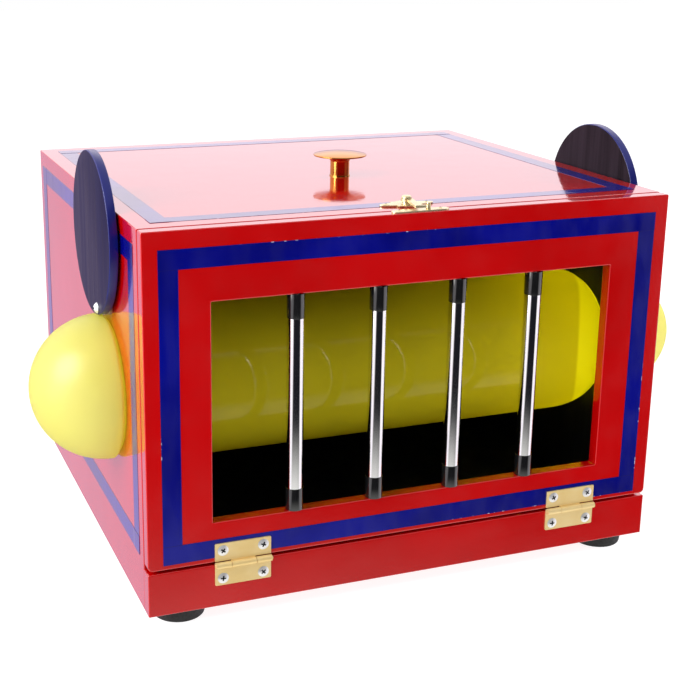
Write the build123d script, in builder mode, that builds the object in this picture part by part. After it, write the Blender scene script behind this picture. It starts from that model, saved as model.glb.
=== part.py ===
"""A stage magician's balloon cabinet: a lacquered wooden box with a barred drop-down door,
a long inflated balloon through its two side holes, and a round swinging cover over each hole.

Frame: +X to the right, the door faces -Y, +Z up. The origin is the centre of the footprint,
on the underside of the base board. The rubber feet stand below it.
"""
import os
from math import cos, radians, sin

from build123d import *

# ---- driving dimensions, millimetres ----

# the case
case_width = 370.0
case_depth = 324.6
case_height = 251.3
panel_t = 9.0
base_t = 12.0

# the drop-down door, which overlays the front of the case above the front rail
door_t = 9.0
door_gap = 1.5
front_rail_height = 29.7
door_bottom_gap = 1.9
door_corner_r = 3.5
window_width = 283.6
window_height = 145.8
window_bottom = 59.3

# the bars in the door's window
bar_count = 4
bar_r = 5.6
bar_bore_r = 2.1
ferrule_side_wall = 0.3
ferrule_r = bar_r + ferrule_side_wall
ferrule_top_height = 16.0
ferrule_bottom_height = 15.0
ferrule_wall = 3.0
tie_rod_r = 2.0
tie_rod_depth = 14.0

# butt hinges
hinge_width = 38.0
hinge_leaf_height = 14.6
hinge_leaf_t = 1.0
hinge_from_middle = 122.0
knuckle_r = 2.15
knuckle_gap = 0.3
middle_knuckle_width = 16.4
pin_r = 1.05
pin_end = 0.8
hinge_screw_span_x = 27.4
hinge_screw_from_axis = 9.7

# wood screws
screw_head_r = 3.7
screw_dome = 0.7
screw_shank_r = 1.5
hinge_screw_length = 8.0
cross_long = 3.6
cross_wide = 0.9
cross_deep = 1.1

# side holes, covers and balloon
hole_r = 45.0
hole_from_front = 92.0
hole_height = 127.0
cover_r = 54.5
cover_t = 6.0
cover_pivot_from_rim = 4.5
cover_pivot_from_front = 90.0
cover_pivot_height = 182.0
cover_edge_r = 0.8
left_cover_lean = 16.0
right_cover_lean = 9.0
cover_washer_r = 5.0
cover_washer_t = 1.6
cover_screw_r = 2.0
cover_screw_head_r = 3.8
cover_screw_head_height = 2.6
cover_screw_depth = 8.0

balloon_r = 54.0
balloon_wall = 0.3
balloon_shoulder = 16.0
left_bulge_length = 54.0
right_bulge_length = 68.0
bulge_r = 49.2
bulge_swell = 16.0
balloon_clear = 0.35

# knob on the top panel
knob_from_front = 139.0
knob_stem_r = 7.0
knob_head_r = 19.3
knob_rim_height = 14.8
knob_rim_t = 1.0
knob_height = 17.8
knob_screw_r = 2.0
knob_screw_length = 16.0
knob_screw_head_r = 4.0
knob_screw_head_t = 2.4
knob_washer_r = 7.0
knob_washer_t = 1.2

# catch: a swinging hook on the top panel and a post on the door's top edge
catch_plate_length = 38.0
catch_plate_depth = 18.0
catch_plate_t = 1.0
catch_pivot_from_front = 25.0
catch_pivot_x = -1.0
catch_boss_r = 2.8
catch_boss_height = 1.5
rivet_r = 1.3
rivet_head_r = 3.4
rivet_head_height = 1.9
hook_t = 1.6
hook_arm_width = 4.4
hook_beak_width = 2.2
hook_rest_turn = 12.0
keeper_length = 40.0
keeper_depth = 6.6
keeper_t = 1.0
post_x = 5.0
post_from_front = 5.0
post_r = 1.5
post_height = 4.4
small_screw_r = 0.9
small_screw_head_r = 2.1
small_screw_dome = 0.6
small_screw_length = 6.0
catch_screw_span = 29.0

# feet
foot_r = 18.5
foot_bottom_r = 17.0
foot_height = 9.0
foot_from_side = 25.0
foot_from_front = 20.0
foot_from_back = 25.0
foot_recess_r = 6.0
foot_recess_depth = 4.0
foot_screw_r = 2.0
foot_screw_head_r = 4.2
foot_screw_head_t = 2.2
foot_screw_length = 13.0

# blue vinyl tape
tape_width = 12.7
tape_t = 0.15
door_tape_side_margin = 10.0
door_tape_bottom_margin = 3.2
door_tape_top_margin = 11.5
side_tape_front_margin = 9.8
side_tape_back_margin = 11.0
side_tape_bottom = 35.0
side_tape_top = 240.0
top_tape_side_margin = 12.0
top_tape_front_margin = 13.0
top_tape_back_margin = 13.0

# clearances
running = 0.05
side_play = 0.1
over_tape = 0.2

# ---- places worked out from the sizes above ----

half_width = case_width / 2
front_y = -case_depth / 2
back_y = case_depth / 2
door_back_y = front_y + door_t
case_front_y = door_back_y + door_gap
door_bottom_z = front_rail_height + door_bottom_gap
door_height = case_height - door_bottom_z
window_top = window_bottom + window_height
inner_half = half_width - panel_t
inner_back_y = back_y - panel_t
inner_top_z = case_height - panel_t

hinge_axis_y = front_y - over_tape - knuckle_r
hinge_axis_z = front_rail_height + 0.3
outer_knuckle_width = (hinge_width - middle_knuckle_width) / 2 - knuckle_gap

wood_sink_r = screw_head_r - hinge_leaf_t - over_tape + running

hole_y = front_y + hole_from_front
cover_pivot_y = front_y + cover_pivot_from_front
cover_offset = cover_r - cover_pivot_from_rim

foot_spots = [
    (x, y)
    for x in (-half_width + foot_from_side, half_width - foot_from_side)
    for y in (front_y + foot_from_front, back_y - foot_from_back)
]
bar_pitch = window_width / (bar_count + 1)
bar_xs = [(i - (bar_count - 1) / 2) * bar_pitch for i in range(bar_count)]
bar_y = front_y + door_t / 2
hinge_xs = {"left": -hinge_from_middle, "right": hinge_from_middle}
sides = {"left": -1, "right": 1}
cover_leans = {"left": left_cover_lean, "right": right_cover_lean}

knob_y = front_y + knob_from_front
catch_y = front_y + catch_pivot_from_front
catch_plate_z = case_height + over_tape
hook_z = catch_plate_z + catch_plate_t + catch_boss_height + side_play
keeper_y = front_y + post_from_front
small_screw_xs = (catch_pivot_x - catch_screw_span / 2, catch_pivot_x + catch_screw_span / 2)


def save(part, name):
    """Label a finished piece and write it under its own name."""
    part.label = name
    export_step(part, f"parts/{name}.step")


def at(x, y, z, direction):
    """A plane at a point, facing along a row axis, level and upright when seen from outside."""
    facing_x, facing_y = direction[0], direction[1]
    level = (-facing_y, facing_x, 0) if facing_x or facing_y else (1, 0, 0)
    return Plane(origin=(x, y, z), x_dir=level, z_dir=direction)


def hinge_screw_spots(lift):
    """The hinge screws of one row, above (lift > 0) or below the hinge axis."""
    return [
        (hinge_x + side * hinge_screw_span_x / 2, hinge_axis_z + lift * hinge_screw_from_axis)
        for hinge_x in hinge_xs.values()
        for side in (-1, 1)
    ]


def oval_screw(place, head_r, dome, shank_r, length, cross):
    """A countersunk screw with a low domed head: the plane lies at the head's rim."""
    sink = head_r - shank_r
    dome_r = (head_r**2 + dome**2) / (2 * dome)
    with BuildPart() as screw:
        with BuildSketch(Plane.XZ) as profile:
            with BuildLine():
                Polyline((head_r, 0), (shank_r, -sink), (shank_r, -length + shank_r))
                Line((shank_r, -length + shank_r), (0, -length))
                Line((0, -length), (0, dome))
                RadiusArc((0, dome), (head_r, 0), dome_r)
            make_face()
        revolve(profile.sketch, axis=Axis.Z)
        with BuildSketch(Plane.XY.offset(dome)):
            Rectangle(cross, cross / 4)
            Rectangle(cross / 4, cross)
        extrude(amount=-dome - cross / 4, mode=Mode.SUBTRACT)
    return place.location * screw.part


def group(solids):
    """Several separate solids kept together in one node."""
    return Compound(children=[s.solid() for s in solids])


def border(plane, low, high, pierced=(), pierced_r=1.0):
    """Four strips of tape round a rectangle, the level strips running over the corners.

    Screws that pass through the tape leave a round hole at each pierced spot.
    """
    width, height = high[0] - low[0], high[1] - low[1]
    middle = ((low[0] + high[0]) / 2, (low[1] + high[1]) / 2)
    with BuildPart() as strips:
        with BuildSketch(plane):
            with Locations(middle):
                with GridLocations(0, height - tape_width, 1, 2):
                    Rectangle(width, tape_width)
        extrude(amount=tape_t)
        with BuildSketch(plane):
            with Locations(middle):
                with GridLocations(width - tape_width, 0, 2, 1):
                    Rectangle(tape_width, height - 2 * tape_width)
        extrude(amount=tape_t)
        if pierced:
            with BuildSketch(plane):
                with Locations(*pierced):
                    Circle(pierced_r)
            extrude(amount=tape_t, mode=Mode.SUBTRACT)
    return strips.part


os.makedirs("parts", exist_ok=True)

# ---- case ----

with BuildPart() as base_board:
    with BuildSketch(Plane.XY):
        with Locations((0, (case_front_y + inner_back_y) / 2)):
            Rectangle(2 * inner_half, inner_back_y - case_front_y)
    extrude(amount=base_t)
    with Locations(*[at(x, y, 0, (0, 0, -1)) for x, y in foot_spots]):
        Hole(foot_screw_r + running, depth=foot_screw_length - foot_height + foot_recess_depth)
save(base_board.part, "base_board")

with BuildPart() as front_rail:
    with BuildSketch(Plane.XY):
        with Locations((0, (front_y + case_front_y) / 2)):
            Rectangle(case_width, case_front_y - front_y)
    extrude(amount=front_rail_height)
    with Locations(*[at(x, front_y, z, (0, -1, 0)) for x, z in hinge_screw_spots(-1)]):
        CounterSinkHole(screw_shank_r + running, wood_sink_r, depth=hinge_screw_length, counter_sink_angle=90)
save(front_rail.part, "front_rail")

for side, sign in sides.items():
    with BuildPart() as side_panel:
        with BuildSketch(at(sign * inner_half, 0, 0, (sign, 0, 0))):
            with Locations((sign * (case_front_y + back_y) / 2, inner_top_z / 2)):
                Rectangle(back_y - case_front_y, inner_top_z)
        extrude(amount=panel_t)
        with Locations(at(sign * half_width, hole_y, hole_height, (sign, 0, 0))):
            Hole(hole_r)
        with Locations(at(sign * half_width, cover_pivot_y, cover_pivot_height, (sign, 0, 0))):
            Hole(cover_screw_r + running, depth=cover_screw_depth)
    save(side_panel.part, f"{side}_side_panel")

with BuildPart() as back_panel:
    with BuildSketch(Plane.XY):
        with Locations((0, (inner_back_y + back_y) / 2)):
            Rectangle(2 * inner_half, panel_t)
    extrude(amount=inner_top_z)
save(back_panel.part, "back_panel")

with BuildPart() as top_panel:
    with BuildSketch(Plane.XY.offset(inner_top_z)):
        with Locations((0, (case_front_y + back_y) / 2)):
            Rectangle(case_width, back_y - case_front_y)
    extrude(amount=panel_t)
    with Locations((0, knob_y, case_height)):
        Hole(knob_screw_r + running)
    with Locations(*[(x, catch_y, case_height) for x in small_screw_xs]):
        Hole(small_screw_r + running, depth=small_screw_length)
save(top_panel.part, "top_panel")

# ---- feet ----

foot_solids = []
foot_screw_solids = []
for x, y in foot_spots:
    with BuildPart() as foot:
        with BuildSketch(at(x, y, 0, (0, 0, -1))):
            Circle(foot_r)
        with BuildSketch(at(x, y, -foot_height, (0, 0, -1))):
            Circle(foot_bottom_r)
        loft()
        fillet(foot.edges().group_by(Axis.Z)[0], radius=1.5)
        with Locations(at(x, y, -foot_height, (0, 0, -1))):
            CounterBoreHole(foot_screw_r + running, foot_recess_r, foot_recess_depth)
    foot_solids.append(foot.part)
    with BuildPart() as foot_screw:
        with BuildSketch(Plane.XY.offset(-foot_height + foot_recess_depth - foot_screw_head_t)):
            with Locations((x, y)):
                Circle(foot_screw_head_r)
        extrude(amount=foot_screw_head_t)
        fillet(foot_screw.edges().group_by(Axis.Z)[0], radius=1.0)
        with BuildSketch(Plane.XY.offset(-foot_height + foot_recess_depth)):
            with Locations((x, y)):
                Circle(foot_screw_r)
        extrude(amount=foot_screw_length - running)
        with BuildSketch(Plane.XY.offset(-foot_height + foot_recess_depth - foot_screw_head_t)):
            with Locations((x, y)):
                Rectangle(cross_long, cross_wide)
                Rectangle(cross_wide, cross_long)
        extrude(amount=cross_deep, mode=Mode.SUBTRACT)
    foot_screw_solids.append(foot_screw.part)
save(group(foot_solids), "rubber_feet")
save(group(foot_screw_solids), "foot_screws")

# ---- door frame ----

with BuildPart() as door_top_rail:
    with BuildSketch(Plane.XY.offset(window_top)):
        with Locations((0, bar_y)):
            Rectangle(window_width, door_t)
    extrude(amount=case_height - window_top)
    with Locations(*[at(x, bar_y, window_top, (0, 0, -1)) for x in bar_xs]):
        Hole(tie_rod_r + running, depth=tie_rod_depth)
    with Locations(*[(x, keeper_y, case_height) for x in small_screw_xs]):
        CounterSinkHole(small_screw_r + running, small_screw_head_r - keeper_t + running,
                        depth=small_screw_length, counter_sink_angle=90)
    with Locations((post_x, keeper_y, case_height)):
        Hole(post_r + running, depth=small_screw_length)
save(door_top_rail.part, "door_top_rail")

with BuildPart() as door_bottom_rail:
    with BuildSketch(Plane.XY.offset(door_bottom_z)):
        with Locations((0, bar_y)):
            Rectangle(window_width, door_t)
    extrude(amount=window_bottom - door_bottom_z)
    with Locations(*[(x, bar_y, window_bottom) for x in bar_xs]):
        Hole(tie_rod_r + running, depth=tie_rod_depth)
    with Locations(*[at(x, front_y, z, (0, -1, 0)) for x, z in hinge_screw_spots(1)]):
        CounterSinkHole(screw_shank_r + running, wood_sink_r, depth=hinge_screw_length, counter_sink_angle=90)
save(door_bottom_rail.part, "door_bottom_rail")

stile_width = (case_width - window_width) / 2
for side, sign in sides.items():
    with BuildPart() as stile:
        with BuildSketch(Plane.XY.offset(door_bottom_z)):
            with Locations((sign * (half_width - stile_width / 2), bar_y)):
                Rectangle(stile_width, door_t)
        extrude(amount=door_height)
        outer_edges = stile.edges().filter_by(Axis.Y).group_by(Axis.X)[-1 if sign > 0 else 0]
        fillet(outer_edges.group_by(Axis.Z)[0], radius=door_corner_r)
    save(stile.part, f"door_{side}_stile")

# ---- bars ----

bar_bottom = window_bottom + ferrule_wall
bar_top = window_top - ferrule_wall
top_ferrules = []
bottom_ferrules = []
tie_rods = []
for number, x in enumerate(bar_xs, start=1):
    with BuildPart() as bar:
        with BuildSketch(Plane.XY.offset(bar_bottom)):
            with Locations((x, bar_y)):
                Circle(bar_r)
                Circle(bar_bore_r, mode=Mode.SUBTRACT)
        extrude(amount=bar_top - bar_bottom)
    save(bar.part, f"bar_{number}")

    for low, height, floor, ferrules in (
        (window_bottom, ferrule_bottom_height, bar_bottom, bottom_ferrules),
        (window_top - ferrule_top_height, ferrule_top_height, window_top, top_ferrules),
    ):
        with BuildPart() as ferrule:
            with BuildSketch(Plane.XY.offset(low)):
                with Locations((x, bar_y)):
                    Circle(ferrule_r)
            extrude(amount=height)
            mouth = -1 if floor == bar_bottom else 0
            fillet(ferrule.edges().group_by(Axis.Z)[mouth], radius=0.3)
            with BuildSketch(Plane.XY.offset(max(low, bar_bottom))):
                with Locations((x, bar_y)):
                    Circle(bar_r + running)
            extrude(amount=min(low + height, bar_top) - max(low, bar_bottom), mode=Mode.SUBTRACT)
            with BuildSketch(Plane.XY.offset(low)):
                with Locations((x, bar_y)):
                    Circle(tie_rod_r + running)
            extrude(amount=height, mode=Mode.SUBTRACT)
        ferrules.append(ferrule.part)

    with BuildPart() as tie_rod:
        with BuildSketch(Plane.XY.offset(window_bottom - tie_rod_depth)):
            with Locations((x, bar_y)):
                Circle(tie_rod_r)
        extrude(amount=window_height + 2 * tie_rod_depth)
    tie_rods.append(tie_rod.part)
save(group(top_ferrules), "bar_top_ferrules")
save(group(bottom_ferrules), "bar_bottom_ferrules")
save(group(tie_rods), "bar_tie_rods")

# ---- butt hinges ----

for side, hinge_x in hinge_xs.items():
    axis_plane = at(hinge_x - hinge_width / 2, hinge_axis_y, hinge_axis_z, (1, 0, 0))
    leaf_back = front_y - over_tape
    reach = knuckle_r + knuckle_gap

    for leaf_name, lift, spans in (
        ("door", 1, [(outer_knuckle_width + knuckle_gap, middle_knuckle_width)]),
        ("base", -1, [(0, outer_knuckle_width),
                      (hinge_width - outer_knuckle_width, outer_knuckle_width)]),
    ):
        with BuildPart() as leaf:
            low = hinge_axis_z + lift * reach
            high = hinge_axis_z + lift * hinge_leaf_height
            with BuildSketch(at(hinge_x, leaf_back, (low + high) / 2, (0, -1, 0))):
                Rectangle(hinge_width, abs(high - low))
            extrude(amount=hinge_leaf_t)
            corners = leaf.edges().filter_by(Axis.Y).group_by(Axis.Z)[-1 if lift > 0 else 0]
            fillet(corners, radius=0.8)
            for start, width in spans:
                with BuildSketch(at(hinge_x, leaf_back, (hinge_axis_z + low) / 2, (0, -1, 0))):
                    with Locations((start + width / 2 - hinge_width / 2, 0)):
                        Rectangle(width, abs(low - hinge_axis_z))
                extrude(amount=hinge_leaf_t)
                with BuildSketch(axis_plane.offset(start)):
                    Circle(knuckle_r)
                extrude(amount=width)
            with BuildSketch(axis_plane):
                Circle(pin_r + running)
            extrude(amount=hinge_width, mode=Mode.SUBTRACT)
            spots = [(x, z) for x, z in hinge_screw_spots(lift) if abs(x - hinge_x) < hinge_width]
            with Locations(*[at(x, leaf_back - hinge_leaf_t, z, (0, -1, 0)) for x, z in spots]):
                CounterSinkHole(screw_shank_r + running, screw_head_r + running, counter_sink_angle=90)
        save(leaf.part, f"{side}_hinge_{leaf_name}_leaf")

    with BuildPart() as pin:
        with BuildSketch(axis_plane.offset(-pin_end / 2)):
            Circle(pin_r)
        extrude(amount=hinge_width + 1.5 * pin_end)
        fillet(pin.edges().filter_by(GeomType.CIRCLE), radius=0.3)
    save(pin.part, f"{side}_hinge_pin")

screw_face_y = front_y - over_tape - hinge_leaf_t
for name, lift in (("hinge_door_screws", 1), ("hinge_base_screws", -1)):
    save(
        group(
            oval_screw(at(x, screw_face_y, z, (0, -1, 0)), screw_head_r, screw_dome,
                       screw_shank_r, hinge_screw_length, cross_long)
            for x, z in hinge_screw_spots(lift)
        ),
        name,
    )

# ---- side hole covers ----

for side, sign in sides.items():
    lean = radians(cover_leans[side])
    face_x = sign * half_width
    pivot = (cover_pivot_y, cover_pivot_height)
    disc_y = cover_pivot_y + cover_offset * sin(lean)
    disc_z = cover_pivot_height + cover_offset * cos(lean)
    disc_x = face_x + sign * (cover_washer_t + side_play)
    with BuildPart() as disc:
        with BuildSketch(at(disc_x, disc_y, disc_z, (sign, 0, 0))):
            Circle(cover_r)
        extrude(amount=cover_t)
        fillet(disc.edges().filter_by(GeomType.CIRCLE), radius=cover_edge_r)
        with Locations(at(disc_x + sign * cover_t, *pivot, (sign, 0, 0))):
            Hole(cover_screw_r + running)
    save(disc.part, f"{side}_cover_disc")

    with BuildPart() as washer:
        with BuildSketch(at(face_x, *pivot, (sign, 0, 0))):
            Circle(cover_washer_r)
            Circle(cover_screw_r + running, mode=Mode.SUBTRACT)
        extrude(amount=cover_washer_t)
    save(washer.part, f"{side}_cover_washer")

    head_x = disc_x + sign * (cover_t + side_play)
    with BuildPart() as cover_screw:
        with BuildSketch(at(head_x, *pivot, (sign, 0, 0))):
            Circle(cover_screw_head_r)
        extrude(amount=cover_screw_head_height)
        rim = cover_screw.edges().filter_by(GeomType.CIRCLE).group_by(Axis.X)
        fillet(rim[-1 if sign > 0 else 0], radius=cover_screw_head_height * 0.8)
        with BuildSketch(at(head_x + sign * cover_screw_head_height, *pivot, (sign, 0, 0))):
            Rectangle(cross_long, cross_wide)
            Rectangle(cross_wide, cross_long)
        extrude(amount=-cross_deep, mode=Mode.SUBTRACT)
        with BuildSketch(at(head_x, *pivot, (-sign, 0, 0))):
            Circle(cover_screw_r)
        extrude(amount=abs(head_x - face_x) + cover_screw_depth - running)
    save(cover_screw.part, f"{side}_cover_screw")

# ---- balloon ----


def balloon_profile(skin):
    """Half outline of the balloon, drawn from tip to tip and shrunk by the skin's thickness."""
    neck = hole_r - balloon_clear - skin
    left_out = -half_width - balloon_clear
    right_out = half_width + balloon_clear
    left_in = -inner_half + balloon_clear + skin
    right_in = inner_half - balloon_clear - skin
    full = balloon_r - skin
    bulge = bulge_r - skin
    left_cap = left_bulge_length - bulge_swell - skin
    right_cap = right_bulge_length - bulge_swell - skin
    eighth_turn = radians(45)
    with BuildLine() as outline:
        Spline(
            (left_out - left_bulge_length + skin, 0),
            (left_out - bulge_swell - left_cap * sin(eighth_turn), bulge * cos(eighth_turn)),
            (left_out - bulge_swell, bulge),
            tangents=[(0, 1), (1, 0)],
        )
        Spline(
            (left_out - bulge_swell, bulge), (left_out, neck), tangents=[(1, 0), (0.6, -1)],
        )
        Line((left_out, neck), (left_in, neck))
        Spline((left_in, neck), (left_in + balloon_shoulder, full), tangents=[(0, 1), (1, 0)])
        Line((left_in + balloon_shoulder, full), (right_in - balloon_shoulder, full))
        Spline((right_in - balloon_shoulder, full), (right_in, neck), tangents=[(1, 0), (0, -1)])
        Line((right_in, neck), (right_out, neck))
        Spline(
            (right_out, neck), (right_out + bulge_swell, bulge), tangents=[(0.6, 1), (1, 0)],
        )
        Spline(
            (right_out + bulge_swell, bulge),
            (right_out + bulge_swell + right_cap * sin(eighth_turn), bulge * cos(eighth_turn)),
            (right_out + right_bulge_length - skin, 0),
            tangents=[(1, 0), (0, -1)],
        )
        Line((right_out + right_bulge_length - skin, 0), (left_out - left_bulge_length + skin, 0))
    return outline.line


with BuildPart() as balloon_skin:
    with BuildSketch(Plane.XY) as outer_face:
        add(balloon_profile(0))
        make_face()
    revolve(outer_face.sketch, axis=Axis.X)
    with BuildSketch(Plane.XY) as inner_face:
        add(balloon_profile(balloon_wall))
        make_face()
    revolve(inner_face.sketch, axis=Axis.X, mode=Mode.SUBTRACT)
save(Pos(0, hole_y, hole_height) * balloon_skin.part, "balloon")

# ---- knob ----

with BuildPart() as knob:
    with BuildSketch(Plane.XZ) as profile:
        with BuildLine():
            flare_start = knob_rim_height * 0.7
            Polyline((0, 0), (knob_stem_r, 0), (knob_stem_r, flare_start))
            Spline(
                (knob_stem_r, flare_start), (knob_head_r, knob_rim_height),
                tangents=[(0.3, 1), (1, 0.12)],
            )
            Line((knob_head_r, knob_rim_height), (knob_head_r, knob_rim_height + knob_rim_t))
            rise = knob_height - knob_rim_height - knob_rim_t
            crown_r = (knob_head_r**2 + rise**2) / (2 * rise)
            RadiusArc((knob_head_r, knob_rim_height + knob_rim_t), (0, knob_height), -crown_r)
            Line((0, knob_height), (0, 0))
        make_face()
    revolve(profile.sketch, axis=Axis.Z)
    with Locations(at(0, 0, 0, (0, 0, -1))):
        Hole(knob_screw_r + running, depth=knob_screw_length - panel_t - knob_washer_t + 1)
save(Pos(0, knob_y, case_height) * knob.part, "knob")

with BuildPart() as knob_washer:
    with BuildSketch(Plane.XY.offset(inner_top_z - knob_washer_t)):
        with Locations((0, knob_y)):
            Circle(knob_washer_r)
            Circle(knob_screw_r + running, mode=Mode.SUBTRACT)
    extrude(amount=knob_washer_t)
save(knob_washer.part, "knob_washer")

with BuildPart() as knob_screw:
    head_z = inner_top_z - knob_washer_t
    with BuildSketch(at(0, knob_y, head_z, (0, 0, -1))):
        Circle(knob_screw_head_r)
    extrude(amount=knob_screw_head_t)
    fillet(knob_screw.edges().group_by(Axis.Z)[0], radius=1.0)
    with BuildSketch(at(0, knob_y, head_z - knob_screw_head_t, (0, 0, 1))):
        Rectangle(cross_long, cross_wide)
        Rectangle(cross_wide, cross_long)
    extrude(amount=cross_deep, mode=Mode.SUBTRACT)
    with BuildSketch(Plane.XY.offset(head_z)):
        with Locations((0, knob_y)):
            Circle(knob_screw_r)
    extrude(amount=knob_screw_length)
save(knob_screw.part, "knob_screw")

# ---- catch ----

with BuildPart() as catch_plate:
    with BuildSketch(Plane.XY.offset(catch_plate_z)):
        with Locations((catch_pivot_x, catch_y)):
            Rectangle(catch_plate_length * 0.45, catch_plate_depth * 0.8)
            Ellipse(catch_plate_length / 2, catch_plate_depth * 0.28)
            Circle(catch_plate_depth / 2)
    extrude(amount=catch_plate_t)
    with BuildSketch(Plane.XY.offset(catch_plate_z + catch_plate_t)):
        with Locations((catch_pivot_x, catch_y)):
            Circle(catch_boss_r)
    extrude(amount=catch_boss_height)
    with BuildSketch(Plane.XY.offset(catch_plate_z)):
        with Locations((catch_pivot_x, catch_y)):
            Circle(rivet_r + running)
    extrude(amount=catch_plate_t + catch_boss_height, mode=Mode.SUBTRACT)
    with Locations(*[(x, catch_y, catch_plate_z + catch_plate_t) for x in small_screw_xs]):
        CounterSinkHole(small_screw_r + running, small_screw_head_r + running, counter_sink_angle=90)
save(catch_plate.part, "catch_plate")

with BuildPart() as catch_rivet:
    with BuildSketch(Plane.XY.offset(catch_plate_z)):
        with Locations((catch_pivot_x, catch_y)):
            Circle(rivet_r)
    rivet_length = hook_z + hook_t + side_play - catch_plate_z
    extrude(amount=rivet_length)
    with BuildSketch(Plane.XY.offset(catch_plate_z + rivet_length)):
        with Locations((catch_pivot_x, catch_y)):
            Circle(rivet_head_r)
    extrude(amount=rivet_head_height)
    fillet(catch_rivet.edges().group_by(Axis.Z)[-1], radius=rivet_head_height * 0.85)
save(catch_rivet.part, "catch_rivet")

post_side = post_x - catch_pivot_x
arm_right = post_side - post_r - 3 * side_play - hook_beak_width * 0.1
beak_y = keeper_y - catch_y - post_r - 3 * side_play
with BuildPart() as catch_hook:
    with BuildSketch(Plane.XY):
        Circle(rivet_head_r + 0.4)
        with Locations((arm_right - hook_arm_width / 2, beak_y / 2 - hook_beak_width / 2)):
            Rectangle(hook_arm_width, hook_beak_width - beak_y)
        with Locations((arm_right + post_r, beak_y - hook_beak_width / 2)):
            Rectangle(2 * post_r + 1.2, hook_beak_width)
        Circle(rivet_r + running, mode=Mode.SUBTRACT)
    extrude(amount=hook_t)
    ends = catch_hook.edges().filter_by(Axis.Z).group_by(Axis.Y)[0]
    fillet(ends, radius=hook_beak_width * 0.45)
hook_place = Pos(catch_pivot_x, catch_y, hook_z) * Rot(0, 0, -hook_rest_turn)
save(hook_place * catch_hook.part, "catch_hook")

save(
    group(
        oval_screw(at(x, catch_y, catch_plate_z + catch_plate_t, (0, 0, 1)), small_screw_head_r,
                   small_screw_dome, small_screw_r, small_screw_length, cross_long / 2)
        for x in small_screw_xs
    ),
    "catch_screws",
)

with BuildPart() as keeper_plate:
    with BuildSketch(Plane.XY.offset(case_height)):
        with Locations((catch_pivot_x, keeper_y - keeper_depth * 0.1)):
            SlotOverall(keeper_length, keeper_depth)
    extrude(amount=keeper_t)
    with BuildSketch(Plane.XY.offset(case_height)):
        with Locations((post_x, keeper_y)):
            Circle(post_r + running)
    extrude(amount=keeper_t, mode=Mode.SUBTRACT)
    with Locations(*[(x, keeper_y, case_height + keeper_t) for x in small_screw_xs]):
        CounterSinkHole(small_screw_r + running, small_screw_head_r + running, counter_sink_angle=90)
save(keeper_plate.part, "keeper_plate")

with BuildPart() as keeper_post:
    with BuildSketch(Plane.XY.offset(case_height - small_screw_length + running)):
        with Locations((post_x, keeper_y)):
            Circle(post_r)
    extrude(amount=small_screw_length - running + keeper_t + post_height)
    fillet(keeper_post.edges().group_by(Axis.Z)[-1], radius=post_r * 0.6)
save(keeper_post.part, "keeper_post")

save(
    group(
        oval_screw(at(x, keeper_y, case_height + keeper_t, (0, 0, 1)), small_screw_head_r,
                   small_screw_dome, small_screw_r, small_screw_length, cross_long / 2)
        for x in small_screw_xs
    ),
    "keeper_screws",
)

# ---- blue tape borders ----

front_plane = Plane(origin=(0, front_y, 0), x_dir=(1, 0, 0), z_dir=(0, -1, 0))
save(
    border(
        front_plane,
        (-half_width + door_tape_side_margin, door_bottom_z + door_tape_bottom_margin),
        (half_width - door_tape_side_margin, case_height - door_tape_top_margin),
        pierced=hinge_screw_spots(1),
        pierced_r=screw_head_r - hinge_leaf_t + running,
    ),
    "door_tape",
)
for side, sign in sides.items():
    side_plane = Plane(origin=(sign * half_width, 0, 0), x_dir=(0, sign, 0), z_dir=(sign, 0, 0))
    tape_ys = sorted(
        sign * y for y in (case_front_y + side_tape_front_margin, back_y - side_tape_back_margin)
    )
    save(
        border(side_plane, (tape_ys[0], side_tape_bottom), (tape_ys[1], side_tape_top)),
        f"{side}_side_tape",
    )
back_plane = Plane(origin=(0, back_y, 0), x_dir=(-1, 0, 0), z_dir=(0, 1, 0))
save(
    border(
        back_plane,
        (-half_width + door_tape_side_margin, side_tape_bottom),
        (half_width - door_tape_side_margin, side_tape_top),
    ),
    "back_tape",
)
save(
    border(
        Plane.XY.offset(case_height),
        (-half_width + top_tape_side_margin, case_front_y + top_tape_front_margin),
        (half_width - top_tape_side_margin, back_y - top_tape_back_margin),
        pierced=[(x, catch_y) for x in small_screw_xs],
        pierced_r=small_screw_head_r - catch_plate_t + running,
    ),
    "top_tape",
)
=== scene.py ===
import math

import bmesh
import bpy
from mathutils import Matrix, Vector


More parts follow.
